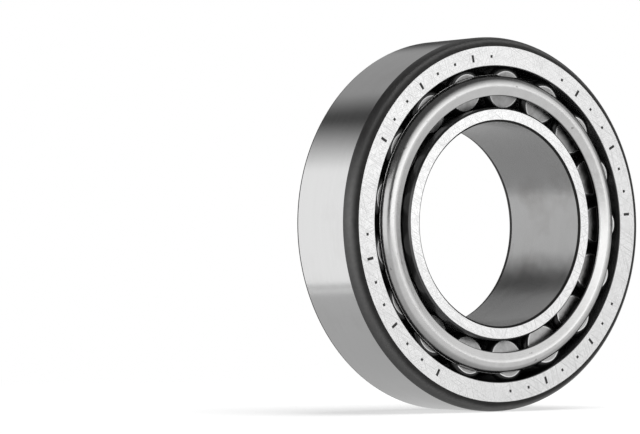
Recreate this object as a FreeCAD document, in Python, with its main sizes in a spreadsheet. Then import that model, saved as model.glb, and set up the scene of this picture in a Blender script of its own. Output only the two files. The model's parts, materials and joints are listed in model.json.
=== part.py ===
import FreeCAD, Part
import os

import Sketcher
from FreeCAD import Vector

# A single-row tapered roller bearing: cup (outer ring), cone (inner ring), a pressed steel
# cage and its tapered rollers. Lengths are millimetres, angles are degrees.
#
# The bearing stands on its rim. Its axis is the Y axis, +Z is up, and the origin lies on the
# axis at the middle of the assembled width: the cup back face is towards -Y and the cone back
# face towards +Y.
#
# Both raceways and all the roller axes meet in one point of the bearing axis, the apex, which
# lies in front of the cup back face. Every piece is drawn in a frame that starts at the apex:
# x is the radius and y the distance from the apex along the axis.

DRIVING_DIMENSIONS = [
    ("BoreDiameter", 66.675, "cone bore, fits the shaft"),
    ("OutsideDiameter", 122.238, "cup outside, fits the housing"),
    ("BearingWidth", 38.1, "cup back face to cone back face"),
    ("ConeWidth", 38.354, "cone front face to cone back face"),
    ("CupWidth", 29.718, "cup back face to cup front face"),
    ("CupRaceAngle", 12.77, "half angle of the cup raceway"),
    ("CupRaceRadius", 51.45, "cup raceway radius at the cup back face"),
    ("CupBackCornerRadial", 3.19, "radial size of the rounded cup back corner"),
    ("CupBackCornerAxial", 4.1, "axial size of the rounded cup back corner"),
    ("CupFrontCorner", 1.5, "fillet at the cup front face"),
    ("CupEdgeBreak", 0.25, "chamfer at both ends of the cup raceway"),
    ("RollerCount", 17, "rollers and cage pockets"),
    ("RollerAxisAngle", 10.9, "angle between a roller axis and the bearing axis"),
    ("RollerSetback", 2.55, "cup back face to the centre of a roller small end"),
    ("RollerLength", 25.4, "length along the roller axis"),
    ("RollerCorner", 1.9, "fillet at both ends of a roller"),
    ("RollerEndSphere", 235, "sphere radius of the roller large end"),
    ("RollerPhase", 85.3, "place of the first roller, from +X towards +Z"),
    ("RunningClearance", 0.03, "gap between a roller and each raceway"),
    ("SmallRibRadius", 38.0, "cone small rib"),
    ("SmallRibGap", 0.4, "small rib to the roller small end"),
    ("LargeRibRadius", 45.0, "cone large rib"),
    ("LargeRibGap", 0.05, "large rib face to the roller large end"),
    ("LargeRibTilt", 9.3, "tilt of the large rib face"),
    ("ReliefRadius", 0.6, "round relief at the root of each rib"),
    ("ConeBoreChamfer", 0.64, "cone front face to bore"),
    ("SmallRibChamfer", 0.58, "cone front face to small rib"),
    ("ConeBackCorner", 3.5, "fillet from bore to cone back face"),
    ("LargeRibChamfer", 1.2, "large rib to cone back face"),
    ("LargeRibEdgeBreak", 0.3, "large rib to its guiding face"),
    ("CageThickness", 1.6, "sheet thickness"),
    ("CageProtrusion", 1.6, "cage flange beyond the cup back face"),
    ("CageHoleRadius", 41.8, "inner edge of the cage flange"),
    ("CageRidgeRadius", 45.1, "radius of the ridge, where the bend faces straight forward"),
    ("CageBendRadius", 3.65, "outer radius of the bend"),
    ("CageFlangeDish", 16, "slope of the flange, which lies deeper towards its hole"),
    ("CageAngle", 11.9, "half angle of the cage body"),
    ("CageLength", 33.6, "cage flange to the open large end"),
    ("CageEdgeRadius", 0.5, "rounded edges of the sheet"),
    ("PocketSideGap", 0.25, "cage bar to roller"),
    ("PocketEndGap", 0.5, "cage pocket end to roller end"),
]

# The apex to the cup back face, and the planes that follow from it.
CUP_BACK = "(Dims.CupRaceRadius / tan(Dims.CupRaceAngle))"
CUP_FRONT = f"({CUP_BACK} + Dims.CupWidth)"
CONE_BACK = f"({CUP_BACK} + Dims.BearingWidth)"
CONE_FRONT = f"({CONE_BACK} - Dims.ConeWidth)"

# A roller between its end centres, as distances from the apex along the roller's own axis.
ROLLER_START = f"(({CUP_BACK} + Dims.RollerSetback) / cos(Dims.RollerAxisAngle))"
ROLLER_STOP = f"({ROLLER_START} + Dims.RollerLength)"
ROLLER_SLOPE = "tan(Dims.CupRaceAngle - Dims.RollerAxisAngle)"
ROLLER_END_RADIUS = f"({ROLLER_STOP} * {ROLLER_SLOPE} - Dims.RunningClearance)"
ROLLER_END_CROWN = (f"(Dims.RollerEndSphere"
                    f" - sqrt(Dims.RollerEndSphere ^ 2 - {ROLLER_END_RADIUS} ^ 2))")

FULL_TURN = 360
TOUCH = 1e-4      # an edge this close to an outline corner starts there
PARTS_FOLDER = "parts"


def make_dimension_sheet(doc):
    """Write the driving dimensions to a spreadsheet, one aliased cell each."""
    sheet = doc.addObject("Spreadsheet::Sheet", "Dims")
    for row, (alias, value, note) in enumerate(DRIVING_DIMENSIONS, start=1):
        sheet.set(f"A{row}", alias)
        sheet.set(f"B{row}", str(value))
        sheet.set(f"C{row}", note)
        sheet.setAlias(f"B{row}", alias)
    doc.recompute()
    return sheet


def origin_feature(body, role):
    """Find a plane or an axis of the body's own origin."""
    return next(item for item in body.Origin.OriginFeatures if item.Role == role)


def new_body(doc, label, turn=None):
    """Start a body in the apex frame, turned about the bearing axis by an expression."""
    body = doc.addObject("PartDesign::Body", label)
    body.Label = label
    if turn:
        any_turn = FreeCAD.Rotation(Vector(0, -1, 0), 1)
        body.Placement = FreeCAD.Placement(Vector(), any_turn)
        body.setExpression("Placement.Rotation.Angle", turn)
    body.setExpression("Placement.Base.y", f"-({CUP_BACK} + Dims.BearingWidth / 2)")
    return body


def new_sketch(body, name, tilt=None):
    """Add a sketch on the XY plane, its y axis tilted outwards by an expression."""
    sketch = body.newObject("Sketcher::SketchObject", name)
    sketch.AttachmentSupport = [(origin_feature(body, "XY_Plane"), "")]
    sketch.MapMode = "FlatFace"
    if tilt:
        any_tilt = FreeCAD.Rotation(Vector(0, 0, -1), 1)
        sketch.AttachmentOffset = FreeCAD.Placement(Vector(), any_tilt)
        sketch.setExpression("AttachmentOffset.Rotation.Angle", tilt)
    return sketch


def bind(sketch, constraint, expression):
    """Add a dimension to a sketch and let an expression drive it."""
    number = sketch.addConstraint(constraint)
    sketch.setExpression(f"Constraints[{number}]", expression)


def arc_between(start, stop, radius):
    """Make the counter-clockwise arc of a given radius from one point to another."""
    chord = stop - start
    to_centre = Vector(-chord.y, chord.x, 0).normalize()
    centre = (start + stop) / 2 + to_centre * (radius ** 2 - (chord.Length / 2) ** 2) ** 0.5
    circle = Part.Circle(centre, Vector(0, 0, 1), radius)
    return Part.ArcOfCircle(circle, circle.parameter(start), circle.parameter(stop))


def draw_outline(sketch, sheet, corners, arcs=None):
    """Draw a closed outline counter-clockwise through corners, (x, y) pairs of expressions.

    arcs holds the radius expression of each side that is an arc, by its first corner's number.
    """
    arcs = arcs or {}
    points = [Vector(sheet.evalExpression(x), sheet.evalExpression(y), 0) for x, y in corners]
    for number, start in enumerate(points):
        stop = points[(number + 1) % len(points)]
        if number in arcs:
            sketch.addGeometry(arc_between(start, stop, sheet.evalExpression(arcs[number])))
        else:
            sketch.addGeometry(Part.LineSegment(start, stop))
    origin, start_end, stop_end = -1, 1, 2
    for number, (x, y) in enumerate(corners):
        after = (number + 1) % len(corners)
        joint = Sketcher.Constraint("Coincident", number, stop_end, after, start_end)
        sketch.addConstraint(joint)
        across = ("DistanceX", origin, start_end, number, start_end, points[number].x)
        along = ("DistanceY", origin, start_end, number, start_end, points[number].y)
        bind(sketch, Sketcher.Constraint(*across), x)
        bind(sketch, Sketcher.Constraint(*along), y)
    for number, radius in arcs.items():
        size = sheet.evalExpression(radius)
        bind(sketch, Sketcher.Constraint("Radius", number, size), radius)


def draw_circle(sketch, sheet, centre, radius):
    """Draw a circle whose centre and radius are expressions."""
    middle = Vector(sheet.evalExpression(centre[0]), sheet.evalExpression(centre[1]), 0)
    size = sheet.evalExpression(radius)
    number = sketch.addGeometry(Part.Circle(middle, Vector(0, 0, 1), size))
    origin, start_end, centre_point = -1, 1, 3
    across = ("DistanceX", origin, start_end, number, centre_point, middle.x)
    along = ("DistanceY", origin, start_end, number, centre_point, middle.y)
    bind(sketch, Sketcher.Constraint(*across), centre[0])
    bind(sketch, Sketcher.Constraint(*along), centre[1])
    bind(sketch, Sketcher.Constraint("Radius", number, size), radius)


def revolve(doc, body, sketch, kind="PartDesign::Revolution"):
    """Turn a sketch about its own y axis, into a solid or, as a Groove, out of one."""
    feature = body.newObject(kind, f"{sketch.Name}_turned")
    feature.Profile = sketch
    feature.ReferenceAxis = (sketch, ["V_Axis"])
    feature.Angle = FULL_TURN
    doc.recompute()
    return feature


def cut_by_turning(doc, body, sketch):
    """Cut a turned groove and make sure that it took something away."""
    before = body.Shape.Volume
    groove = revolve(doc, body, sketch, "PartDesign::Groove")
    if groove.Shape.Volume >= before:
        raise RuntimeError(f"{groove.Name} cuts nothing")
    return groove


def round_edges_at(sheet, feature, sketch, corners):
    """Name the full-circle edges that pass through corners of the outline in a sketch."""
    names = []
    for x, y in corners:
        flat = Vector(sheet.evalExpression(x), sheet.evalExpression(y), 0)
        spot = Part.Vertex(sketch.Placement.multVec(flat))
        for number, edge in enumerate(feature.Shape.Edges, start=1):
            if edge.isClosed() and edge.distToShape(spot)[0] < TOUCH:
                names.append(f"Edge{number}")
    if len(names) != len(corners):
        raise RuntimeError(f"{feature.Name}: {len(names)} edges found for {len(corners)} corners")
    return names


def dress(doc, sheet, body, sketch, kind, size, corners):
    """Fillet or chamfer the turned edges that start at corners of the outline."""
    base = body.Tip
    feature = body.newObject(f"PartDesign::{kind}", f"{body.Name}_{kind}")
    feature.Base = (base, round_edges_at(sheet, base, sketch, corners))
    feature.setExpression("Radius" if kind == "Fillet" else "Size", size)
    doc.recompute()
    return feature


def make_cup(doc, sheet):
    """The outer ring, with the tapered raceway inside and a large rounded back corner."""
    outside = "Dims.OutsideDiameter / 2"
    race_slope = "tan(Dims.CupRaceAngle)"
    corners = [
        ("Dims.CupRaceRadius", CUP_BACK),
        (f"{outside} - Dims.CupBackCornerRadial", CUP_BACK),
        (outside, f"{CUP_BACK} + Dims.CupBackCornerAxial"),
        (outside, CUP_FRONT),
        (f"{CUP_FRONT} * {race_slope}", CUP_FRONT),
    ]
    # The arc is tangent to the outside and meets the ground back face at a visible edge.
    corner_radius = ("(Dims.CupBackCornerAxial ^ 2 + Dims.CupBackCornerRadial ^ 2)"
                     " / (2 * Dims.CupBackCornerRadial)")
    body = new_body(doc, "cup")
    sketch = new_sketch(body, "cup_section")
    draw_outline(sketch, sheet, corners, {1: corner_radius})
    revolve(doc, body, sketch)
    dress(doc, sheet, body, sketch, "Fillet", "Dims.CupFrontCorner", corners[3:4])
    dress(doc, sheet, body, sketch, "Chamfer", "Dims.CupEdgeBreak", [corners[0], corners[4]])
    return body


def make_cone(doc, sheet):
    """The inner ring, with the tapered raceway between its small rib and its large rib."""
    bore = "Dims.BoreDiameter / 2"
    race_slope = "tan(2 * Dims.RollerAxisAngle - Dims.CupRaceAngle)"

    # The small rib's inner side is parallel to the roller small ends.
    rib_side = f"({ROLLER_START} - Dims.SmallRibGap)"
    axis_sine = "sin(Dims.RollerAxisAngle)"
    axis_cosine = "cos(Dims.RollerAxisAngle)"
    small_root = f"({rib_side} / ({axis_cosine} + {race_slope} * {axis_sine}))"
    small_edge = f"({rib_side} - Dims.SmallRibRadius * {axis_sine}) / {axis_cosine}"

    # The large rib's face is tangent to a sphere just outside the roller large ends.
    centre = f"({ROLLER_STOP} - Dims.RollerEndSphere)"
    tilt_slope = "tan(Dims.LargeRibTilt)"
    face_reach = (f"({centre} * {axis_cosine} + {centre} * {axis_sine} * {tilt_slope}"
                  f" + (Dims.RollerEndSphere + Dims.LargeRibGap) / cos(Dims.LargeRibTilt))")
    large_root = f"({face_reach} / (1 + {race_slope} * {tilt_slope}))"

    corners = [
        (bore, CONE_FRONT),
        ("Dims.SmallRibRadius", CONE_FRONT),
        ("Dims.SmallRibRadius", small_edge),
        (f"{small_root} * {race_slope}", small_root),
        (f"{large_root} * {race_slope}", large_root),
        ("Dims.LargeRibRadius", f"{face_reach} - Dims.LargeRibRadius * {tilt_slope}"),
        ("Dims.LargeRibRadius", CONE_BACK),
        (bore, CONE_BACK),
    ]
    body = new_body(doc, "cone")
    section = new_sketch(body, "cone_section")
    draw_outline(section, sheet, corners)
    revolve(doc, body, section)
    dress(doc, sheet, body, section, "Chamfer", "Dims.ConeBoreChamfer", corners[0:1])
    dress(doc, sheet, body, section, "Chamfer", "Dims.SmallRibChamfer", corners[1:2])
    dress(doc, sheet, body, section, "Chamfer", "Dims.LargeRibEdgeBreak", corners[5:6])
    dress(doc, sheet, body, section, "Chamfer", "Dims.LargeRibChamfer", corners[6:7])
    dress(doc, sheet, body, section, "Fillet", "Dims.ConeBackCorner", corners[7:8])
    for name, root in (("small_rib_relief", corners[3]), ("large_rib_relief", corners[4])):
        relief = new_sketch(body, name)
        draw_circle(relief, sheet, root, "Dims.ReliefRadius")
        cut_by_turning(doc, body, relief)
    return body


def make_cage(doc, sheet):
    """The pressed cage: a flange at the small end, a bend, and a conical body with pockets."""
    cage_front = f"({CUP_BACK} - Dims.CageProtrusion)"
    cage_end = f"({cage_front} + Dims.CageLength)"
    wall_slope = "tan(Dims.CageAngle)"
    flange_slope = "tan(Dims.CageFlangeDish)"
    inner_bend_radius = "(Dims.CageBendRadius - Dims.CageThickness)"

    def bend_corner(radius):
        """Where the flange and the wall would meet if a bend of this radius were left sharp."""
        share = f"{radius} / (1 + sin(Dims.CageAngle - Dims.CageFlangeDish))"
        across = (f"(Dims.CageRidgeRadius"
                  f" + {share} * (cos(Dims.CageAngle) - sin(Dims.CageFlangeDish)))")
        along = (f"({cage_front} + Dims.CageBendRadius"
                 f" - {share} * (cos(Dims.CageFlangeDish) + sin(Dims.CageAngle)))")
        return across, along

    def at_hole(corner):
        """Where a flange face that starts at a corner reaches the hole."""
        across, along = corner
        return "Dims.CageHoleRadius", f"{along} + ({across} - Dims.CageHoleRadius) * {flange_slope}"

    def at_end(corner):
        """Where a wall face that starts at a corner reaches the open end."""
        across, along = corner
        return f"{across} + ({cage_end} - {along}) * {wall_slope}", cage_end

    outer_bend = bend_corner("Dims.CageBendRadius")
    inner_bend = bend_corner(inner_bend_radius)
    corners = [
        at_hole(outer_bend),
        outer_bend,
        at_end(outer_bend),
        at_end(inner_bend),
        inner_bend,
        at_hole(inner_bend),
    ]
    body = new_body(doc, "cage", "Dims.RollerPhase")
    section = new_sketch(body, "cage_section")
    draw_outline(section, sheet, corners)
    revolve(doc, body, section)
    sheared_edges = [corners[0], corners[2], corners[3], corners[5]]
    dress(doc, sheet, body, section, "Fillet", "Dims.CageBendRadius", corners[1:2])
    dress(doc, sheet, body, section, "Fillet", inner_bend_radius, corners[4:5])
    dress(doc, sheet, body, section, "Fillet", "Dims.CageEdgeRadius", sheared_edges)

    pocket_start = f"({ROLLER_START} - Dims.PocketEndGap)"
    pocket_stop = f"({ROLLER_STOP} + Dims.PocketEndGap)"
    side_gap = "Dims.PocketSideGap"
    pocket = new_sketch(body, "pocket_section", tilt="Dims.RollerAxisAngle")
    draw_outline(pocket, sheet, [
        ("0", pocket_start),
        (f"{pocket_start} * {ROLLER_SLOPE} + {side_gap}", pocket_start),
        (f"{pocket_stop} * {ROLLER_SLOPE} + {side_gap}", pocket_stop),
        ("0", pocket_stop),
    ])
    groove = cut_by_turning(doc, body, pocket)
    pockets = body.newObject("PartDesign::PolarPattern", "pockets")
    pockets.Originals = [groove]
    pockets.Axis = (origin_feature(body, "Y_Axis"), [""])
    pockets.Angle = FULL_TURN
    pockets.setExpression("Occurrences", "Dims.RollerCount")
    body.Tip = pockets
    doc.recompute()
    return body


def make_roller(doc, sheet, number):
    """One tapered roller: flat small end, crowned large end that runs against the large rib."""
    corners = [
        ("0", ROLLER_START),
        (f"{ROLLER_START} * {ROLLER_SLOPE} - Dims.RunningClearance", ROLLER_START),
        (ROLLER_END_RADIUS, f"{ROLLER_STOP} - {ROLLER_END_CROWN}"),
        ("0", ROLLER_STOP),
    ]
    turn = f"Dims.RollerPhase + {number} * {FULL_TURN} / Dims.RollerCount"
    body = new_body(doc, f"roller_{number + 1:02d}", turn)
    sketch = new_sketch(body, f"{body.Name}_section", tilt="Dims.RollerAxisAngle")
    draw_outline(sketch, sheet, corners, {2: "Dims.RollerEndSphere"})
    revolve(doc, body, sketch)
    dress(doc, sheet, body, sketch, "Fillet", "Dims.RollerCorner", corners[1:3])
    return body


def check_document(doc, pieces):
    """Stop if any object failed or any piece isn't one valid solid."""
    for item in doc.Objects:
        if {"Invalid", "Error"} & set(item.State):
            raise RuntimeError(f"{item.Label} failed: {item.State}")
    for piece in pieces:
        shape = piece.Shape
        if shape.isNull() or not shape.isValid() or len(shape.Solids) != 1:
            raise RuntimeError(f"{piece.Label} is not one valid solid")


def main():
    doc = FreeCAD.newDocument("tapered_roller_bearing")
    sheet = make_dimension_sheet(doc)
    pieces = [make_cup(doc, sheet), make_cone(doc, sheet), make_cage(doc, sheet)]
    for number in range(int(sheet.RollerCount)):
        pieces.append(make_roller(doc, sheet, number))
    doc.recompute()
    check_document(doc, pieces)
    os.makedirs(PARTS_FOLDER, exist_ok=True)
    for piece in pieces:
        piece.Shape.exportStep(os.path.join(PARTS_FOLDER, f"{piece.Label}.step"))


main()
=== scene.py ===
import json
import math
import random

import bmesh
import bpy
from mathutils import Matrix, Vector


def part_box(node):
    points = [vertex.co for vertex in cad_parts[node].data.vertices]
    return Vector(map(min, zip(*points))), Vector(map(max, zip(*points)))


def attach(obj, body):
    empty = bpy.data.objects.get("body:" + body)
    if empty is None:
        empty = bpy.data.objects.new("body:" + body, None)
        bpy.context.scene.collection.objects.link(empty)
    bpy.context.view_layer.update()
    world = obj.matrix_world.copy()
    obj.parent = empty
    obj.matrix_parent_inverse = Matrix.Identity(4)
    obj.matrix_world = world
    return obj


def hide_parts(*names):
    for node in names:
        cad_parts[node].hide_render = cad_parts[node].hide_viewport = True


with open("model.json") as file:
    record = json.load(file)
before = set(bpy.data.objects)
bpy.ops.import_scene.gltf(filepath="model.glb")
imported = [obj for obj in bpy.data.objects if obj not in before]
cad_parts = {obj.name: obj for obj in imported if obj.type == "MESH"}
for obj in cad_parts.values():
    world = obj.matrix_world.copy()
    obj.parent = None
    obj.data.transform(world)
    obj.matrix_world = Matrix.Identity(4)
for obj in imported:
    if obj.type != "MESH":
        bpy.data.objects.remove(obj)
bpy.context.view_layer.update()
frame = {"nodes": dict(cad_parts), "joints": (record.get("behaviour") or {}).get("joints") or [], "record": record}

# The bearing's axis is the Y axis and +Z is up. The cup back face is towards -Y. Lengths are
# metres. A section is drawn as (radius, y) corners, counter-clockwise, and turned about Y.

MM = 0.001
HALF_TURN = math.pi
FULL_TURN = 2 * math.pi

# ------------------------------------------------------------------ places, from the frame

CUP_LOW, CUP_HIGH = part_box("cup")
CONE_LOW, CONE_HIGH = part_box("cone")
CAGE_LOW, CAGE_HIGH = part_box("cage")
MOUNTS = {mount["name"]: mount for mount in frame["record"]["mounts"]}
JOINTS = {joint["name"]: joint for joint in frame["joints"]}
ROLLERS = sorted(name for name in frame["nodes"] if name.startswith("roller_"))
OUTSIDE = MOUNTS["housing_seat"]["dims"]["r_mm"] * MM
BORE = MOUNTS["shaft_bore"]["dims"]["r_mm"] * MM
PITCH_ANGLE = FULL_TURN / len(ROLLERS)

# ------------------------------------------------------------------ sizes of small features

CUP_RACE_START = 51.45 * MM         # raceway radius at the cup back face
CUP_CORNER_RADIAL = 3.19 * MM       # the large back corner, which keeps its dark scale
CUP_CORNER_AXIAL = 4.1 * MM
CUP_FRONT_CORNER = 1.5 * MM
CUP_RACE_EDGE = 0.25 * MM
SMALL_RIB = 38.0 * MM
SMALL_RIB_CHAMFER = 0.58 * MM
SMALL_RIB_GAP = 0.4 * MM            # small rib to the roller small ends
LARGE_RIB = 45.0 * MM
LARGE_RIB_TILT = math.radians(9.3)
LARGE_RIB_GAP = 0.05 * MM
LARGE_RIB_EDGE = 0.3 * MM
LARGE_RIB_CHAMFER = 1.2 * MM
RIB_RELIEF = 0.6 * MM
CONE_BORE_CHAMFER = 0.64 * MM
CONE_BACK_CORNER = 3.5 * MM
RUNNING_GAP = 0.03 * MM
ROLLER_CORNER = 1.9 * MM
ROLLER_SPHERE = 235 * MM            # the crown of a roller large end
RECESS_RADIUS = 3.2 * MM            # the shallow recess in a roller large end
RECESS_DEPTH = 0.35 * MM
CAGE_SHEET = 1.6 * MM
CAGE_HOLE = 41.8 * MM
CAGE_RIDGE = 45.1 * MM              # where the bend faces straight forward
CAGE_BEND = 3.65 * MM
CAGE_DISH = math.radians(16)        # the flange lies deeper towards its hole
CAGE_ANGLE = math.radians(11.9)
CAGE_EDGE = 0.5 * MM
POCKET_SIDE_GAP = 0.25 * MM
POCKET_END_GAP = 0.5 * MM
POCKET_CORNER = 1.2 * MM
RIM_FACING = math.cos(math.radians(9))  # a roller corner keeps its steel colour up to this lean, and is painted near black beyond it as painted shade
RIM_FADE = 0.01
EDGE_BREAK = 0.12 * MM              # the small round left on machined edges
SHEARED_EDGE = 0.15 * MM            # the small round left on punched edges
SHARP_TURN = math.radians(50)       # an edge that turns more than this was punched

RING_SEGMENTS = 24 * len(ROLLERS)
ROLLER_SEGMENTS = 96
ARC_STEPS = 6                       # steps in an eighth of a turn
POCKET_COLUMNS = 10
BAR_COLUMNS = 6
POCKET_ROWS = 10
POCKET_CORNER_ROWS = 4
ROLLER_TURN_SEED = 17               # for the chance turn of each roller about its own axis

# ------------------------------------------------------------------ the marks on the cup face

MARK_RADIUS = 54.6 * MM
MARK_HEIGHT = 2.4 * MM
MARK_WIDTH = 0.9 * MM
MARK_CELLS = 44
MARK_GROUPS = 4
MARKS_IN_GROUP = 8
MARKS_PER_BAR = 3                   # every third mark is a bar, and the others are dots
MARK_BLUR = 0.06 * MM

# ------------------------------------------------------------------ studio and camera

ROOM_LIGHT = 0.07
FLOOR_LIGHT = (0.3, 0.6)            # what reflections see straight below and at the horizon
# Each panel is a strength, then (middle, half width, fade) in azimuth and (low, high, fade below,
# fade above) in elevation, in degrees. Azimuth 0 is in front and 90 is at the right.
PANELS = [
    (1.7, (17, 21, 8), (-0.5, 2, 2.2, 48)),
    (0.95, (44, 16, 16), (-1, 20, 4, 38)),
    (0.78, (20, 40, 22), (-34, 0, 36, 4)),
    (1.0, (-77, 35, 12), (-10, 22, 8, 8)),
    (1.05, (-145, 20, 10), (-21, 20, 1, 15)),
    (0.9, (-145, 20, 10), (-23.8, -22.9, 0.5, 0.5)),
    (0.36, (152, 27, 15), (24, 60, 10, 20)),
    (0.34, (95, 15, 15), (12, 32, 12, 18)),
]
HORIZON_FADE = 1.5                  # degrees above and below the horizon
FLOOR_SIZE = 40.0
FLOOR_NEAR = 0.14                   # the floor shows shadows up to this far from its middle
FLOOR_FAR = 0.34                    # and is as white as the backdrop from here on
FLOOR_GLOW = 0.6                    # how far it is lifted towards white even near the bearing
CAMERA_AZIMUTH = math.radians(-36.189)
CAMERA_ELEVATION = math.radians(-1.276)
CAMERA_TARGET = Vector((-38.5, 28.2, 2.6)) * MM
CAMERA_DISTANCE = 1043 * MM
CAMERA_LENS = 177.44
CAMERA_SENSOR = 36
OVERHEAD_PLACE = (0.25, -0.2, 1.1)
OVERHEAD_SIZE = 1.1
OVERHEAD_POWER = 22.0


# ------------------------------------------------------------------ the rolling geometry

def roller_frame(name):
    """A roller's centre and axis, from the joint that it spins on."""
    joint = JOINTS[f"{name}_spin"]
    return Vector(joint["pos_m"]), Vector(joint["axis"]).normalized()


def roller_ends(name):
    """How far a roller reaches along its axis, on both sides of its centre."""
    centre, axis = roller_frame(name)
    reach = [(vertex.co - centre).dot(axis) for vertex in frame["nodes"][name].data.vertices]
    return min(reach), max(reach)


ROLLER_CENTRE, ROLLER_AXIS = roller_frame(ROLLERS[0])
ROLLER_LOW, ROLLER_HIGH = roller_ends(ROLLERS[0])
AXIS_TILT = math.acos(ROLLER_AXIS.y)
CENTRE_RADIUS = math.hypot(ROLLER_CENTRE.x, ROLLER_CENTRE.z)
FIRST_ANGLE = math.atan2(ROLLER_CENTRE.z, ROLLER_CENTRE.x)

# All the axes and raceways meet in the apex. A reach is a distance from it along a roller axis.
APEX_Y = ROLLER_CENTRE.y - CENTRE_RADIUS / math.tan(AXIS_TILT)
CENTRE_REACH = CENTRE_RADIUS / math.sin(AXIS_TILT)
START_REACH = CENTRE_REACH + ROLLER_LOW
STOP_REACH = CENTRE_REACH + ROLLER_HIGH
CUP_SLOPE = CUP_RACE_START / (CUP_LOW.y - APEX_Y)
ROLLER_TAPER = math.tan(math.atan(CUP_SLOPE) - AXIS_TILT)
CONE_SLOPE = math.tan(2 * AXIS_TILT - math.atan(CUP_SLOPE))


# ------------------------------------------------------------------ turned sections

def corner(radius, y, look, edge=0.0, relief=0.0, bulge=0.0, edge_look=None):
    """A section corner, how it is worked, and the side after it: its look and its bulge radius."""
    return {
        "at": Vector((radius, y)),
        "look": look,
        "edge": edge,
        "relief": relief,
        "bulge": bulge,
        "edge_look": edge_look or look,
    }


def turned_runs(corners, closed=True):
    """Split a section into smooth runs: lists of (point, outward normal), and each run's look."""
    count = len(corners)
    ways_in, ways_out, arcs = [], [], []
    for number, here in enumerate(corners):
        end_of_line = not closed and number in (0, count - 1)
        to_last = (corners[number - 1]["at"] - here["at"]).normalized()
        to_next = (corners[(number + 1) % count]["at"] - here["at"]).normalized()
        setback, arc = 0.0, None
        if here["relief"] and not end_of_line:
            setback = here["relief"]
            arc = arc_run(here["at"], setback, to_last, to_next, outward=False, long_way=True)
        elif here["edge"] and not end_of_line:
            half = to_last.angle(to_next) / 2
            setback = here["edge"] / math.tan(half)
            centre = here["at"] + (to_last + to_next).normalized() * (here["edge"] / math.sin(half))
            first = here["at"] + to_last * setback - centre
            last = here["at"] + to_next * setback - centre
            convex = to_last.x * to_next.y - to_last.y * to_next.x < 0
            arc = arc_run(centre, here["edge"], first, last, outward=convex)
        ways_in.append(here["at"] + to_last * setback)
        ways_out.append(here["at"] + to_next * setback)
        arcs.append(arc)
    runs = []
    for number, here in enumerate(corners):
        if arcs[number]:
            runs.append((arcs[number], here["edge_look"]))
        if not closed and number == count - 1:
            break
        start = ways_out[number]
        stop = ways_in[(number + 1) % count]
        runs.append((side_run(start, stop, here["bulge"]), here["look"]))
    return runs


def side_run(start, stop, bulge):
    """Points and normals of one side, straight or bulging outwards with a given radius."""
    side = (stop - start).normalized()
    normal = Vector((side.y, -side.x))
    if not bulge:
        return [(start, normal), (stop, normal)]
    half_chord = (stop - start).length / 2
    centre = (start + stop) / 2 - normal * math.sqrt(bulge ** 2 - half_chord ** 2)
    return arc_run(centre, bulge, start - centre, stop - centre, outward=True)


def arc_run(centre, radius, first, last, outward, long_way=False):
    """Points and normals of an arc between two directions, the short way or the long way."""
    start = math.atan2(first.y, first.x)
    turn = math.atan2(first.x * last.y - first.y * last.x, first.dot(last))
    if long_way:
        turn -= math.copysign(FULL_TURN, turn)
    steps = max(3, math.ceil(ARC_STEPS * abs(turn) / (HALF_TURN / 4)))
    run = []
    for step in range(steps + 1):
        angle = start + turn * step / steps
        direction = Vector((math.cos(angle), math.sin(angle)))
        run.append((centre + direction * radius, direction if outward else -direction))
    return run


def cup_section():
    """The cup: ground back face, dark corner, outside, front face and raceway."""
    race_stop = CUP_SLOPE * (CUP_HIGH.y - APEX_Y)
    back_corner = (CUP_CORNER_AXIAL ** 2 + CUP_CORNER_RADIAL ** 2) / (2 * CUP_CORNER_RADIAL)
    return [
        corner(CUP_RACE_START, CUP_LOW.y, "cup_face", edge=CUP_RACE_EDGE, edge_look="edge"),
        corner(OUTSIDE - CUP_CORNER_RADIAL, CUP_LOW.y, "back_corner", bulge=back_corner),
        corner(OUTSIDE, CUP_LOW.y + CUP_CORNER_AXIAL, "outside"),
        corner(OUTSIDE, CUP_HIGH.y, "face", edge=CUP_FRONT_CORNER, edge_look="scale"),
        corner(race_stop, CUP_HIGH.y, "raceway", edge=CUP_RACE_EDGE, edge_look="edge"),
    ]


def cone_section():
    """The cone: bore, front face, small rib, raceway, large rib and back face."""
    tilt_sine = math.sin(AXIS_TILT)
    tilt_cosine = math.cos(AXIS_TILT)
    small_reach = START_REACH - SMALL_RIB_GAP
    small_edge = (small_reach - SMALL_RIB * tilt_sine) / tilt_cosine
    small_root = small_reach / (tilt_cosine + CONE_SLOPE * tilt_sine)
    rib_slope = math.tan(LARGE_RIB_TILT)
    sphere_centre = STOP_REACH - ROLLER_SPHERE
    rib_reach = (sphere_centre * (tilt_cosine + tilt_sine * rib_slope)
                 + (ROLLER_SPHERE + LARGE_RIB_GAP) / math.cos(LARGE_RIB_TILT))
    large_root = rib_reach / (1 + CONE_SLOPE * rib_slope)
    front, back = CONE_LOW.y, CONE_HIGH.y
    return [
        corner(BORE + CONE_BORE_CHAMFER, front, "cone_face", EDGE_BREAK, edge_look="edge"),
        corner(SMALL_RIB - SMALL_RIB_CHAMFER, front, "edge", EDGE_BREAK),
        corner(SMALL_RIB, front + SMALL_RIB_CHAMFER, "rib", EDGE_BREAK),
        corner(SMALL_RIB, APEX_Y + small_edge, "rib", EDGE_BREAK),
        corner(small_root * CONE_SLOPE, APEX_Y + small_root, "raceway", relief=RIB_RELIEF,
               edge_look="scale"),
        corner(large_root * CONE_SLOPE, APEX_Y + large_root, "rib", relief=RIB_RELIEF,
               edge_look="scale"),
        corner(LARGE_RIB, APEX_Y + rib_reach - LARGE_RIB * rib_slope, "rib", LARGE_RIB_EDGE),
        corner(LARGE_RIB, back - LARGE_RIB_CHAMFER, "scale", EDGE_BREAK),
        corner(LARGE_RIB - LARGE_RIB_CHAMFER, back, "face", EDGE_BREAK),
        corner(BORE, back, "bore", CONE_BACK_CORNER, edge_look="scale"),
        corner(BORE, front + CONE_BORE_CHAMFER, "scale", EDGE_BREAK),
    ]


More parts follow.
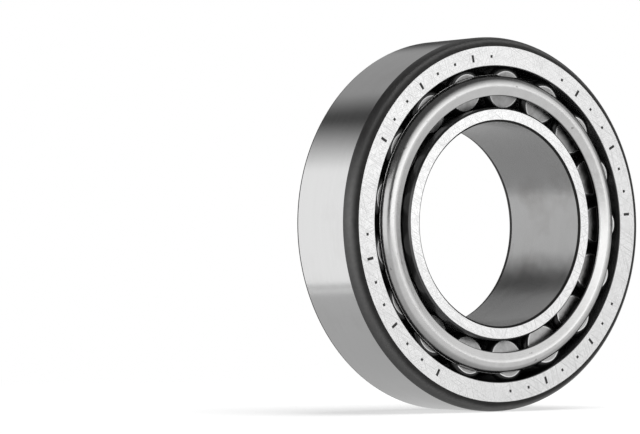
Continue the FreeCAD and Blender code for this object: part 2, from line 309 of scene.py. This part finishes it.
def roller_section():
    """Half a roller: flat small end, tapered body, crowned large end with a shallow recess."""
    small = START_REACH * ROLLER_TAPER - RUNNING_GAP
    large = STOP_REACH * ROLLER_TAPER - RUNNING_GAP
    crown = ROLLER_SPHERE - math.sqrt(ROLLER_SPHERE ** 2 - large ** 2)
    floor = ROLLER_HIGH - RECESS_DEPTH
    return [
        corner(0, ROLLER_LOW, "roller_end"),
        corner(small, ROLLER_LOW, "roller_body", ROLLER_CORNER, edge_look="roller_corner"),
        corner(large, ROLLER_HIGH - crown, "roller_end", ROLLER_CORNER, bulge=ROLLER_SPHERE,
               edge_look="roller_corner"),
        corner(RECESS_RADIUS, ROLLER_HIGH, "roller_end", EDGE_BREAK),
        corner(RECESS_RADIUS - RECESS_DEPTH, floor, "roller_end", EDGE_BREAK),
        corner(0, floor, "roller_end"),
    ]


def bend_corner(radius):
    """Where the cage's flange and wall would meet if a bend of this radius were left sharp."""
    share = radius / (1 + math.sin(CAGE_ANGLE - CAGE_DISH))
    across = CAGE_RIDGE + share * (math.cos(CAGE_ANGLE) - math.sin(CAGE_DISH))
    along = CAGE_LOW.y + CAGE_BEND - share * (math.cos(CAGE_DISH) + math.sin(CAGE_ANGLE))
    return Vector((across, along))


def cage_section():
    """The cage sheet: dished flange, bend and conical wall, its two faces named apart."""
    inner_bend = CAGE_BEND - CAGE_SHEET
    outer, inner = bend_corner(CAGE_BEND), bend_corner(inner_bend)
    slope, dish = math.tan(CAGE_ANGLE), math.tan(CAGE_DISH)
    back = CAGE_HIGH.y
    return [
        corner(CAGE_HOLE, outer.y + (outer.x - CAGE_HOLE) * dish, "flange", CAGE_EDGE),
        corner(outer.x, outer.y, "wall_outside", CAGE_BEND, edge_look="bend"),
        corner(outer.x + (back - outer.y) * slope, back, "end", CAGE_EDGE),
        corner(inner.x + (back - inner.y) * slope, back, "wall_inside", CAGE_EDGE, edge_look="end"),
        corner(inner.x, inner.y, "flange", inner_bend, edge_look="bend"),
        corner(CAGE_HOLE, inner.y + (inner.x - CAGE_HOLE) * dish, "flange", CAGE_EDGE),
    ]


def turned_mesh(name, runs, looks, segments):
    """Turn smooth runs about the Y axis into one mesh that carries the exact normals."""
    used = sorted({look for _, look in runs})
    angles = [FULL_TURN * number / segments for number in range(segments)]
    vertices, faces, face_looks, normals = [], [], [], []
    rings = {}

    def ring(point):
        """The first vertex of the ring through a point, and whether it is a single point."""
        key = (round(point.x / (MM / 1000)), round(point.y / (MM / 1000)))
        on_axis = key[0] == 0
        if key not in rings:
            rings[key] = len(vertices)
            turns = [0.0] if on_axis else angles
            vertices.extend((point.x * math.cos(a), point.y, point.x * math.sin(a)) for a in turns)
        return rings[key], on_axis

    for run, look in runs:
        for (start, start_normal), (stop, stop_normal) in zip(run, run[1:]):
            low, low_pole = ring(start)
            high, high_pole = ring(stop)
            if low == high:
                continue
            for number in range(segments):
                after = (number + 1) % segments
                spots = [(low, low_pole, number, start_normal), (high, high_pole, number, stop_normal)]
                if not high_pole:
                    spots.append((high, high_pole, after, stop_normal))
                if not low_pole:
                    spots.append((low, low_pole, after, start_normal))
                faces.append([first if pole else first + place for first, pole, place, _ in spots])
                face_looks.append(used.index(look))
                for _, _, place, normal in spots:
                    across = math.cos(angles[place])
                    up = math.sin(angles[place])
                    normals.append((normal.x * across, normal.y, normal.x * up))
    mesh = bpy.data.meshes.new(name)
    mesh.from_pydata(vertices, [], faces)
    for look in used:
        mesh.materials.append(looks[look])
    mesh.polygons.foreach_set("material_index", face_looks)
    mesh.polygons.foreach_set("use_smooth", [True] * len(faces))
    mesh.normals_split_custom_set(normals)
    return mesh


# ------------------------------------------------------------------ the cage

def pocket_half_angle(point, from_end):
    """Half the angle that a pocket opens at a point of the wall, less at its rounded ends."""
    y = point.y - APEX_Y
    square = 1 + ROLLER_TAPER ** 2
    slant = ROLLER_TAPER * POCKET_SIDE_GAP
    rest = POCKET_SIDE_GAP ** 2 - point.x ** 2 - y ** 2
    reach = (math.sqrt(slant ** 2 - square * rest) - slant) / square
    across = (reach - y * math.cos(AXIS_TILT)) / math.sin(AXIS_TILT)
    half_angle = math.acos(across / point.x)
    into_corner = max(POCKET_CORNER - from_end, 0.0)
    rounding = POCKET_CORNER - math.sqrt(POCKET_CORNER ** 2 - into_corner ** 2)
    return half_angle - rounding / point.x


def pocket_rows(start, stop):
    """Rows across the pockets on one face of the wall, from small end to large end."""
    along = (stop - start).normalized()
    reach_rate = along.y * math.cos(AXIS_TILT) + along.x * math.sin(AXIS_TILT)
    start_reach = (start.y - APEX_Y) * math.cos(AXIS_TILT) + start.x * math.sin(AXIS_TILT)
    first = (START_REACH - POCKET_END_GAP - start_reach) / reach_rate
    last = (STOP_REACH + POCKET_END_GAP - start_reach) / reach_rate
    quarter = HALF_TURN / 2
    steps = [POCKET_CORNER * (1 - math.cos(quarter * step / POCKET_CORNER_ROWS))
             for step in range(POCKET_CORNER_ROWS)]
    middle = last - first - 2 * POCKET_CORNER
    places = [first + step for step in steps]
    places += [first + POCKET_CORNER + middle * row / POCKET_ROWS for row in range(POCKET_ROWS + 1)]
    places += [last - step for step in reversed(steps)]
    rows = []
    for place in places:
        point = start + along * place
        rows.append((point, pocket_half_angle(point, min(place - first, last - place))))
    return rows


def cage_rows():
    """The cage section as rows of (point, pocket half angle), and the rows across the pockets."""
    runs = [([point for point, _ in run], look) for run, look in turned_runs(cage_section())]
    walls = {look: run for run, look in runs if look.startswith("wall")}
    outside = pocket_rows(*walls["wall_outside"])
    inside = pocket_rows(*reversed(walls["wall_inside"]))
    small_end, large_end = outside[0][1], outside[-1][1]
    rows, outer_rows, inner_rows = [], [], []
    for points, look in runs:
        half_angle = large_end if look in ("end", "wall_inside") else small_end
        rows += [(point, half_angle) for point in points[:-1]]
        if look == "wall_outside":
            outer_rows = list(range(len(rows), len(rows) + len(outside)))
            rows += outside
        if look == "wall_inside":
            inner_rows = list(range(len(rows), len(rows) + len(inside)))
            rows += reversed(inside)
    return rows, outer_rows, inner_rows


def column_angles(half_angle):
    """The angles of all the columns around the cage: across each pocket, then across its bar."""
    bar = PITCH_ANGLE - 2 * half_angle
    angles = []
    for number in range(len(ROLLERS)):
        middle = FIRST_ANGLE + number * PITCH_ANGLE
        angles += [middle + half_angle * (2 * step / POCKET_COLUMNS - 1) for step in range(POCKET_COLUMNS)]
        angles += [middle + half_angle + bar * step / BAR_COLUMNS for step in range(BAR_COLUMNS)]
    return angles


def pocket_rim(grid, first):
    """The vertices around one pocket on one face of the wall, from its first column."""
    last = first + POCKET_COLUMNS
    rim = grid[0][first:last]
    rim += [line[last] for line in grid[:-1]]
    rim += grid[-1][last:first:-1]
    rim += [line[first] for line in reversed(grid[1:])]
    return rim


def cage_mesh(name, material):
    """The cage as one closed sheet, with a row of pockets around its conical wall."""
    rows, outer_rows, inner_rows = cage_rows()
    pitch_columns = POCKET_COLUMNS + BAR_COLUMNS
    open_rows = set(outer_rows[1:-1]) | set(inner_rows[1:-1])
    shape = bmesh.new()
    grid = []
    for number, (point, half_angle) in enumerate(rows):
        line = []
        for column, angle in enumerate(column_angles(half_angle)):
            absent = number in open_rows and 0 < column % pitch_columns < POCKET_COLUMNS
            spot = (point.x * math.cos(angle), point.y, point.x * math.sin(angle))
            line.append(None if absent else shape.verts.new(spot))
        grid.append(line)
    for number, line in enumerate(grid):
        after = (number + 1) % len(grid)
        crosses = any(number in wall and after in wall for wall in (outer_rows, inner_rows))
        for column in range(len(line)):
            if crosses and column % pitch_columns < POCKET_COLUMNS:
                continue
            beside = (column + 1) % len(line)
            shape.faces.new((line[column], grid[after][column], grid[after][beside], line[beside]))
    outer_grid = [grid[number] for number in outer_rows]
    inner_grid = [grid[number] for number in reversed(inner_rows)]
    for first in range(0, len(grid[0]), pitch_columns):
        outer_rim = pocket_rim(outer_grid, first)
        inner_rim = pocket_rim(inner_grid, first)
        for step in range(len(outer_rim)):
            shape.faces.new((outer_rim[step - 1], outer_rim[step], inner_rim[step], inner_rim[step - 1]))
    bmesh.ops.recalc_face_normals(shape, faces=shape.faces)
    mesh = bpy.data.meshes.new(name)
    shape.to_mesh(mesh)
    shape.free()
    mesh.materials.append(material)
    mesh.polygons.foreach_set("use_smooth", [True] * len(mesh.polygons))
    return mesh


# ------------------------------------------------------------------ pieces

def add_piece(name, mesh, body, node, matrix=None):
    """Put a mesh in the scene in place of a CAD node, riding on that node's body."""
    piece = bpy.data.objects.new(name, mesh)
    bpy.context.scene.collection.objects.link(piece)
    if matrix:
        piece.matrix_world = matrix
    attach(piece, body)
    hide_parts(node)
    return piece


def roller_place(name, spin):
    """Where a roller's own frame lies: its y axis along the roller, turned about it by spin."""
    centre, axis = roller_frame(name)
    turn = Vector((0, 1, 0)).rotation_difference(axis)
    return Matrix.Translation(centre) @ turn.to_matrix().to_4x4() @ Matrix.Rotation(spin, 4, "Y")


def add_rings(looks):
    """The cup and the cone."""
    cup = turned_mesh("cup_ring", turned_runs(cup_section()), looks, RING_SEGMENTS)
    cone = turned_mesh("cone_ring", turned_runs(cone_section()), looks, RING_SEGMENTS)
    add_piece("cup_ring", cup, "cup", "cup")
    add_piece("cone_ring", cone, "cone", "cone")


def add_cage(looks):
    """The cage, its punched edges slightly rounded."""
    cage = add_piece("cage_sheet", cage_mesh("cage_sheet", looks["cage"]), "cage", "cage")
    rounding = cage.modifiers.new("sheared_edges", "BEVEL")
    rounding.width = SHEARED_EDGE
    rounding.segments = 2
    rounding.limit_method = "ANGLE"
    rounding.angle_limit = SHARP_TURN
    rounding.use_clamp_overlap = False
    shading = cage.modifiers.new("flat_faces", "WEIGHTED_NORMAL")
    shading.keep_sharp = True


def add_rollers(looks):
    """The rollers, each turned about its own axis by a chance amount."""
    chance = random.Random(ROLLER_TURN_SEED)
    runs = turned_runs(roller_section(), closed=False)
    mesh = turned_mesh("tapered_roller", runs, looks, ROLLER_SEGMENTS)
    for name in ROLLERS:
        place = roller_place(name, chance.uniform(0, FULL_TURN))
        add_piece(f"tapered_{name}", mesh, name, name, place)


# ------------------------------------------------------------------ node helpers

def add_node(tree, kind, inputs=None, **settings):
    """Add a shader node. An input takes a plain value or another node's output."""
    node = tree.nodes.new(f"ShaderNode{kind}")
    for setting, value in settings.items():
        setattr(node, setting, value)
    for place, value in (inputs or {}).items():
        if isinstance(value, bpy.types.NodeSocket):
            tree.links.new(value, node.inputs[place])
        else:
            node.inputs[place].default_value = value
    return node


def calc(tree, operation, *values):
    """A maths node's result."""
    return add_node(tree, "Math", dict(enumerate(values)), operation=operation).outputs[0]


def remap(tree, value, from_low, from_high, to_low, to_high, smooth=False):
    """A value carried from one range to another, and held at its ends."""
    kind = "SMOOTHSTEP" if smooth else "LINEAR"
    inputs = {"Value": value, "From Min": from_low, "From Max": from_high,
              "To Min": to_low, "To Max": to_high}
    return add_node(tree, "MapRange", inputs, interpolation_type=kind, clamp=True).outputs["Result"]


def blend_colour(tree, share, first, second):
    """One colour over another."""
    node = add_node(tree, "Mix", data_type="RGBA")
    link_or_set(tree, node.inputs["Factor"], share)
    link_or_set(tree, node.inputs[6], first)
    link_or_set(tree, node.inputs[7], second)
    return node.outputs[2]


def blend_value(tree, share, first, second):
    """One value over another."""
    node = add_node(tree, "Mix", data_type="FLOAT")
    link_or_set(tree, node.inputs["Factor"], share)
    link_or_set(tree, node.inputs[2], first)
    link_or_set(tree, node.inputs[3], second)
    return node.outputs[0]


def link_or_set(tree, socket, value):
    """Link or set one input."""
    if isinstance(value, bpy.types.NodeSocket):
        tree.links.new(value, socket)
    else:
        socket.default_value = value


def facing_back(tree):
    """How far a surface faces along +Y, in the piece's own frame: 1 backwards, -1 forwards."""
    normal = add_node(tree, "TexCoord").outputs["Normal"]
    return add_node(tree, "SeparateXYZ", {0: normal}).outputs[1]


def grey(level, warm=0.0):
    """A grey with a slight warm or cool cast."""
    return (level * (1 + warm), level, level * (1 - warm), 1.0)


def noise(tree, vector, scale, detail=2.0, roughness=0.5, w=None):
    """A noise value from 0 to 1, in three dimensions or four."""
    inputs = {"Vector": vector, "Scale": scale, "Detail": detail, "Roughness": roughness}
    if w is None:
        return add_node(tree, "TexNoise", inputs).outputs["Fac"]
    inputs["W"] = w
    return add_node(tree, "TexNoise", inputs, noise_dimensions="4D").outputs["Fac"]


def new_material(name):
    """An empty node material with its Principled shader."""
    material = bpy.data.materials.new(name)
    material.use_nodes = True
    tree = material.node_tree
    tree.nodes.clear()
    shader = add_node(tree, "BsdfPrincipled")
    output = add_node(tree, "OutputMaterial")
    tree.links.new(shader.outputs[0], output.inputs["Surface"])
    return material, tree, shader


def turned_coordinates(tree):
    """The radius, the unit direction around the axis and y of a point, in the piece's own frame."""
    place = add_node(tree, "TexCoord").outputs["Object"]
    parts = add_node(tree, "SeparateXYZ", {0: place}).outputs
    squares = [calc(tree, "MULTIPLY", part, part) for part in (parts[0], parts[2])]
    radius = calc(tree, "MAXIMUM", calc(tree, "SQRT", calc(tree, "ADD", *squares)), MM)
    across = calc(tree, "DIVIDE", parts[0], radius)
    up = calc(tree, "DIVIDE", parts[2], radius)
    return place, radius, across, up, parts[1]


def lay_lines(tree, coordinates, pitch, drift):
    """Grinding lines that run around the axis: fine across the lay and slow along it."""
    _, radius, across, up, y = coordinates
    vector = add_node(tree, "CombineXYZ", {
        0: calc(tree, "MULTIPLY", across, drift),
        1: calc(tree, "MULTIPLY", up, drift),
        2: calc(tree, "DIVIDE", radius, pitch),
    }).outputs[0]
    return noise(tree, vector, 1.0, detail=3.0, roughness=0.7, w=calc(tree, "DIVIDE", y, pitch))


def set_shader(tree, shader, **values):
    """Set inputs of the Principled shader by name, with _ for a space."""
    for name, value in values.items():
        link_or_set(tree, shader.inputs[name.replace("_", " ")], value)


def bump(tree, height, distance):
    """A normal bent by a height, where a height of 1 stands for a distance."""
    inputs = {"Height": height, "Distance": distance, "Strength": 1.0}
    return add_node(tree, "Bump", inputs).outputs[0]


def scratches(tree, place, angle, length, spacing, share):
    """Straight fine scratches across a face, all in one direction: about a given share of it."""
    turned = add_node(tree, "VectorRotate", {"Vector": place, "Angle": angle}, rotation_type="Y_AXIS")
    scales = (1 / length, 1 / length, 1 / spacing)
    stretched = add_node(tree, "VectorMath", {0: turned.outputs[0], 1: scales}, operation="MULTIPLY")
    value = noise(tree, stretched.outputs[0], 1.0, detail=3.0, roughness=0.6)
    return remap(tree, value, 0.62 - share, 0.72 - share, 0.0, 1.0)


# ------------------------------------------------------------------ looks

def around_axis(tree, shader, amount):
    """Stretch reflections across grinding lines that run around the axis."""
    tangent = add_node(tree, "Tangent", direction_type="RADIAL", axis="Y").outputs[0]
    set_shader(tree, shader, Anisotropic=amount, Anisotropic_Rotation=0.25, Tangent=tangent)


def ground_steel(name, level, roughness, pitch, contrast=0.1, stretch=0.4, stain=0.35, wave=0.0,
                 depth=0.004 * MM, film=0.0):
    """Steel ground around the axis: fine lines, broader bands, faint stains and long low waves.

    The wave and the depth are heights in metres. The film is the share of the steel's shine that
    a thin dull coat of oil takes away.
    """
    material, tree, shader = new_material(name)
    coordinates = turned_coordinates(tree)
    place = coordinates[0]
    fine = lay_lines(tree, coordinates, pitch, 2.5)
    bands = lay_lines(tree, coordinates, 7 * pitch, 1.2)
    cloud = noise(tree, place, 55.0, detail=5.0, roughness=0.6)
    lines = blend_colour(tree, fine, grey(level * (1 - contrast)), grey(level * (1 + contrast)))
    stained = remap(tree, cloud, 0.5, 0.8, 0.0, stain)
    colour = blend_colour(tree, stained, lines, grey(level * 0.75, 0.02))
    polish = remap(tree, bands, 0.3, 0.7, roughness * 0.85, roughness * 1.2)
    waves = noise(tree, place, 70.0, detail=2.0)
    height = calc(tree, "ADD", calc(tree, "MULTIPLY", waves, wave), calc(tree, "MULTIPLY", fine, depth))
    normal = bump(tree, height, 1.0)
    set_shader(tree, shader, Base_Color=colour, Metallic=1.0 - film, Roughness=polish, Normal=normal)
    around_axis(tree, shader, stretch)
    return material


def etched_marks(tree, coordinates):
    """Plain dots and short bars in groups around the cup face: no letters and no figures."""
    _, radius, across, up, _ = coordinates
    turn = calc(tree, "ARCTAN2", up, across)
    cells = calc(tree, "MULTIPLY", turn, MARK_CELLS / FULL_TURN)
    cell = calc(tree, "FLOOR", cells)
    cell_width = FULL_TURN * MARK_RADIUS / MARK_CELLS
    off_middle = calc(tree, "SUBTRACT", calc(tree, "FRACT", cells), 0.5)
    beside = calc(tree, "MULTIPLY", calc(tree, "ABSOLUTE", off_middle), cell_width)
    away = calc(tree, "ABSOLUTE", calc(tree, "SUBTRACT", radius, MARK_RADIUS))
    is_bar = calc(tree, "LESS_THAN", calc(tree, "FLOORED_MODULO", cell, MARKS_PER_BAR), 0.5)
    in_turn = calc(tree, "FLOORED_MODULO", cell, MARK_CELLS / MARK_GROUPS)
    in_group = calc(tree, "LESS_THAN", in_turn, MARKS_IN_GROUP - 0.5)
    half_height = remap(tree, is_bar, 0.0, 1.0, MARK_WIDTH / 2, MARK_HEIGHT / 2)
    over = calc(tree, "SUBTRACT", away, half_height)
    inside_height = remap(tree, over, -MARK_BLUR, MARK_BLUR, 1.0, 0.0)
    narrow, wide = MARK_WIDTH / 2 - MARK_BLUR, MARK_WIDTH / 2 + MARK_BLUR
    inside_width = remap(tree, beside, narrow, wide, 1.0, 0.0)
    return calc(tree, "MULTIPLY", calc(tree, "MULTIPLY", inside_height, inside_width), in_group)


def flat_ground_steel(name, level, roughness, marked=False):
    """A face ground on a flat disc: scratches that cross each other, and faint turned rings."""
    material, tree, shader = new_material(name)
    coordinates = turned_coordinates(tree)
    place = coordinates[0]
    rings = lay_lines(tree, coordinates, 0.35 * MM, 2.0)
    crossing = 0.0
    for number, angle in enumerate((18, 64, 107, 151)):
        spacing = (0.16 + 0.05 * number) * MM
        lines = scratches(tree, place, math.radians(angle), (6 + 3 * number) * MM, spacing, 0.06)
        crossing = calc(tree, "MAXIMUM", crossing, lines)
    cloud = noise(tree, place, 40.0, detail=4.0, roughness=0.6)
    base = blend_colour(tree, rings, grey(level * 0.94), grey(level * 1.05))
    scored = calc(tree, "MULTIPLY", crossing, 0.6)
    colour = blend_colour(tree, scored, base, grey(level * 0.66))
    rough = remap(tree, cloud, 0.3, 0.7, roughness * 0.85, roughness * 1.2)
    height = calc(tree, "SUBTRACT", calc(tree, "MULTIPLY", rings, 0.5), crossing)
    metallic = 1.0
    if marked:
        marks = etched_marks(tree, coordinates)
        colour = blend_colour(tree, marks, colour, grey(0.035))
        rough = calc(tree, "MAXIMUM", rough, calc(tree, "MULTIPLY", marks, 0.7))
        metallic = calc(tree, "SUBTRACT", 1.0, calc(tree, "MULTIPLY", marks, 0.6))
    normal = bump(tree, height, 0.006 * MM)
    set_shader(tree, shader, Base_Color=colour, Metallic=metallic, Roughness=rough, Normal=normal)
    return material


def dark_scale(name, fading=False):
    """Heat-treatment scale left on an unground corner: near black, mottled, with a sheen.

    On the cup's back corner it fades from black at the face to a worn grey towards the outside; this grey band is
    partly real wear of the scale and partly a painted highlight, and it darkens again near the outside.
    """
    material, tree, shader = new_material(name)
    coordinates = turned_coordinates(tree)
    place = coordinates[0]
    mottle = noise(tree, place, 900.0, detail=4.0, roughness=0.65)
    cloud = noise(tree, place, 120.0, detail=3.0)
    turned = lay_lines(tree, coordinates, 0.3 * MM, 3.0)
    colour = blend_colour(tree, mottle, grey(0.006), grey(0.03, 0.02))
    rough = remap(tree, cloud, 0.3, 0.7, 0.36, 0.5)
    metallic = 0.4
    if fading:
        from_face = calc(tree, "SUBTRACT", coordinates[4], CUP_LOW.y)
        wavering = calc(tree, "ADD", from_face, remap(tree, cloud, 0.0, 1.0, -0.3 * MM, 0.3 * MM))
        # The grey band is partly wear of the scale and partly a painted highlight, the streak of light that the
        # rounded corner reflects; late dims it again towards the outside.
        wear_and_highlight = remap(tree, wavering, 0.05 * CUP_CORNER_AXIAL, 0.4 * CUP_CORNER_AXIAL, 0.0, 1.0, smooth=True)
        late = remap(tree, wavering, 0.45 * CUP_CORNER_AXIAL, CUP_CORNER_AXIAL, 0.0, 0.6)
        wear_and_highlight_colour = blend_colour(tree, mottle, grey(0.14), grey(0.22, 0.01))
        wear_and_highlight_colour = blend_colour(tree, late, wear_and_highlight_colour, grey(0.04))
        colour = blend_colour(tree, wear_and_highlight, colour, wear_and_highlight_colour)
        rough = blend_value(tree, wear_and_highlight, 0.6, rough)
        metallic = remap(tree, wear_and_highlight, 0.0, 1.0, 0.2, 0.95)
    rub = remap(tree, noise(tree, place, 420.0, detail=6.0, roughness=0.7), 0.72, 0.82, 0.0, 0.5)
    colour = blend_colour(tree, rub, colour, grey(0.2))
    height = calc(tree, "ADD", calc(tree, "MULTIPLY", mottle, 0.6), calc(tree, "MULTIPLY", turned, 0.4))
    normal = bump(tree, height, 0.012 * MM)
    set_shader(tree, shader, Base_Color=colour, Metallic=metallic, Roughness=rough, Normal=normal,
               Specular_IOR_Level=0.25)
    return material


def roller_corner_steel(name):
    """A roller's rounded corner: steel in a thin rim where it leaves the ground end, and painted near black beyond
    it, a painted shade for the dark that it reflects.
    """
    material, tree, shader = new_material(name)
    coordinates = turned_coordinates(tree)
    facing = calc(tree, "ABSOLUTE", facing_back(tree))
    unshaded_rim = remap(tree, facing, RIM_FACING - RIM_FADE, RIM_FACING, 0.0, 1.0)
    turned = lay_lines(tree, coordinates, 0.2 * MM, 2.0)
    mottle = noise(tree, coordinates[0], 700.0, detail=4.0)
    # Beyond the thin rim the corner is painted near black: painted shade, not a change of finish.
    colour = blend_colour(tree, unshaded_rim, blend_colour(tree, mottle, grey(0.02), grey(0.06)), grey(0.6))
    normal = bump(tree, turned, 0.008 * MM)
    set_shader(tree, shader, Base_Color=colour, Metallic=0.9, Roughness=0.26, Normal=normal)
    return material


def pressed_steel(name):
    """The cage: satin pressed sheet with a tumbled grain, and painted shade that takes faces towards near black
    the less they point forwards, as on the wall behind its flange.
    """
    material, tree, shader = new_material(name)
    coordinates = turned_coordinates(tree)
    place = coordinates[0]
    grain = noise(tree, place, 2600.0, detail=3.0, roughness=0.6)
    mottle = noise(tree, place, 330.0, detail=5.0, roughness=0.65)
    drawn = lay_lines(tree, coordinates, 0.5 * MM, 2.0)
    colour = blend_colour(tree, mottle, grey(0.56, 0.01), grey(0.74))
    spots = remap(tree, noise(tree, place, 700.0, detail=2.0), 0.7, 0.78, 0.0, 0.6)
    colour = blend_colour(tree, spots, colour, grey(0.17, 0.04))
    # Painted shade: the less a face points forwards, the nearer its colour is taken to near black.
    painted_shade = remap(tree, facing_back(tree), -0.4, -0.1, 0.0, 0.85)
    colour = blend_colour(tree, painted_shade, colour, grey(0.07, 0.02))
    rough = remap(tree, mottle, 0.3, 0.7, 0.15, 0.24)
    height = calc(tree, "ADD", grain, calc(tree, "MULTIPLY", drawn, 0.7))
    normal = bump(tree, height, 0.026 * MM)
    set_shader(tree, shader, Base_Color=colour, Metallic=1.0, Roughness=rough, Normal=normal)
    return material


def roller_end_steel(name):
    """A roller end: turned rings under a stained, mottled skin that differs from roller to roller."""
    material, tree, shader = new_material(name)
    coordinates = turned_coordinates(tree)
    chance = add_node(tree, "ObjectInfo").outputs["Random"]
    shift = add_node(tree, "CombineXYZ", {0: calc(tree, "MULTIPLY", chance, 0.5)}).outputs[0]
    place = add_node(tree, "VectorMath", {0: coordinates[0], 1: shift}, operation="ADD").outputs[0]
    mottle = noise(tree, place, 420.0, detail=5.0, roughness=0.6)
    rings = lay_lines(tree, coordinates, 0.25 * MM, 2.0)
    colour = blend_colour(tree, remap(tree, mottle, 0.35, 0.65, 0.0, 1.0), grey(0.27, 0.01), grey(0.46))
    colour = blend_colour(tree, calc(tree, "MULTIPLY", rings, 0.3), colour, grey(0.55))
    rough = remap(tree, mottle, 0.3, 0.7, 0.28, 0.42)
    normal = bump(tree, rings, 0.006 * MM)
    set_shader(tree, shader, Base_Color=colour, Metallic=1.0, Roughness=rough, Normal=normal)
    return material


def make_looks():
    """Every surface finish of the bearing, by the names that the sections use."""
    return {
        "outside": ground_steel("ground_outside", 0.7, 0.12, 0.12 * MM, contrast=0.07),
        "bore": ground_steel("ground_bore", 0.4, 0.22, 0.15 * MM, contrast=0.04, stain=0.9,
                             wave=0.3 * MM, depth=0.001 * MM, film=0.2),
        "raceway": ground_steel("honed_raceway", 0.13, 0.2, 0.08 * MM, contrast=0.05, film=0.4),
        "rib": ground_steel("ground_rib", 0.12, 0.3, 0.12 * MM, film=0.4),
        "edge": ground_steel("turned_edge", 0.16, 0.3, 0.1 * MM),
        "cup_face": flat_ground_steel("marked_face", 0.76, 0.22, marked=True),
        "face": flat_ground_steel("plain_face", 0.7, 0.26),
        "cone_face": flat_ground_steel("cone_front_face", 0.84, 0.2),
        "scale": dark_scale("dark_scale"),
        "back_corner": dark_scale("fading_scale_and_highlight", fading=True),
        "cage": pressed_steel("pressed_steel"),
        "roller_end": roller_end_steel("roller_end"),
        "roller_body": ground_steel("roller_body", 0.2, 0.2, 0.1 * MM, contrast=0.05, film=0.3),
        "roller_corner": roller_corner_steel("roller_corner"),
    }


# ------------------------------------------------------------------ studio

def light_panel(tree, azimuth, elevation, sideways, upright):
    """How much of a soft-edged light panel lies in a direction."""
    middle, half_width, side_fade = sideways
    low, high, fade_below, fade_above = upright
    turned = calc(tree, "WRAP", calc(tree, "SUBTRACT", azimuth, middle), 180.0, -180.0)
    beside = remap(tree, calc(tree, "ABSOLUTE", turned), half_width, half_width + side_fade, 1.0, 0.0)
    above = remap(tree, elevation, low - fade_below, low, 0.0, 1.0)
    below = remap(tree, elevation, high, high + fade_above, 1.0, 0.0)
    return calc(tree, "MULTIPLY", beside, calc(tree, "MULTIPLY", above, below))


def add_studio():
    """A white backdrop for the camera, and a dark room with soft panels for everything else."""
    world = bpy.data.worlds.new("studio")
    world.use_nodes = True
    bpy.context.scene.world = world
    tree = world.node_tree
    tree.nodes.clear()
    direction = add_node(tree, "TexCoord").outputs["Generated"]
    across, along, up = add_node(tree, "SeparateXYZ", {0: direction}).outputs
    to_front = calc(tree, "MULTIPLY", along, -1.0)
    azimuth = calc(tree, "DEGREES", calc(tree, "ARCTAN2", across, to_front))
    elevation = calc(tree, "DEGREES", calc(tree, "ARCSINE", up))
    floor = remap(tree, elevation, -90.0, 0.0, *FLOOR_LIGHT)
    over_horizon = remap(tree, elevation, -HORIZON_FADE, HORIZON_FADE, 0.0, 1.0)
    light = blend_value(tree, over_horizon, floor, ROOM_LIGHT)
    for strength, sideways, upright in PANELS:
        panel = light_panel(tree, azimuth, elevation, sideways, upright)
        light = calc(tree, "MAXIMUM", light, calc(tree, "MULTIPLY", panel, strength))
    seen = add_node(tree, "LightPath").outputs["Is Camera Ray"]
    room = add_node(tree, "Background", {"Color": grey(1.0), "Strength": light})
    backdrop = add_node(tree, "Background", {"Color": grey(1.0), "Strength": 1.0})
    mixed = add_node(tree, "MixShader", {0: seen, 1: room.outputs[0], 2: backdrop.outputs[0]})
    add_node(tree, "OutputWorld", {"Surface": mixed.outputs[0]})


def add_floor():
    """A pale floor under the bearing that passes into the white backdrop further out."""
    bpy.ops.mesh.primitive_plane_add(size=FLOOR_SIZE, location=(0, 0, -OUTSIDE))
    floor = bpy.context.object
    floor.name = "floor"
    floor.visible_glossy = False
    material, tree, shader = new_material("floor_white")
    place = add_node(tree, "TexCoord").outputs["Object"]
    fleck = noise(tree, place, 90.0, detail=3.0)
    colour = blend_colour(tree, fleck, grey(0.88), grey(0.92))
    set_shader(tree, shader, Base_Color=colour, Roughness=0.8, Specular_IOR_Level=0.0)
    distance = add_node(tree, "VectorMath", {0: place}, operation="LENGTH").outputs["Value"]
    away = remap(tree, distance, FLOOR_NEAR, FLOOR_FAR, FLOOR_GLOW, 1.0, smooth=True)
    glow = add_node(tree, "Emission", {"Color": grey(1.0), "Strength": 1.0})
    mixed = add_node(tree, "MixShader", {0: away, 1: shader.outputs[0], 2: glow.outputs[0]})
    output = next(node for node in tree.nodes if node.type == "OUTPUT_MATERIAL")
    tree.links.new(mixed.outputs[0], output.inputs["Surface"])
    floor.data.materials.append(material)


def add_overhead_light():
    """A square soft light that faces the bearing and leaves no highlight on the steel."""
    light = bpy.data.lights.new("overhead", "AREA")
    light.size = OVERHEAD_SIZE
    light.energy = OVERHEAD_POWER
    lamp = bpy.data.objects.new("overhead", light)
    lamp.location = OVERHEAD_PLACE
    lamp.rotation_euler = (-Vector(OVERHEAD_PLACE)).to_track_quat("-Z", "Y").to_euler()
    lamp.visible_glossy = False
    bpy.context.scene.collection.objects.link(lamp)


def add_camera():
    """A long lens at the front left, a little below the axis, with the bearing right of centre."""
    turn, rise = CAMERA_AZIMUTH, CAMERA_ELEVATION
    back = Vector((math.sin(turn) * math.cos(rise), -math.cos(turn) * math.cos(rise), math.sin(rise)))
    lens = bpy.data.cameras.new("camera")
    lens.sensor_width = CAMERA_SENSOR
    lens.lens = CAMERA_LENS
    lens.clip_start = 0.05
    lens.clip_end = 100
    camera = bpy.data.objects.new("camera", lens)
    camera.location = CAMERA_TARGET + back * CAMERA_DISTANCE
    camera.rotation_euler = (-back).to_track_quat("-Z", "Y").to_euler()
    bpy.context.scene.collection.objects.link(camera)
    bpy.context.scene.camera = camera


looks = make_looks()
add_rings(looks)
add_cage(looks)
add_rollers(looks)
add_floor()
add_studio()
add_overhead_light()
add_camera()
bpy.context.scene.view_settings.view_transform = "Standard"
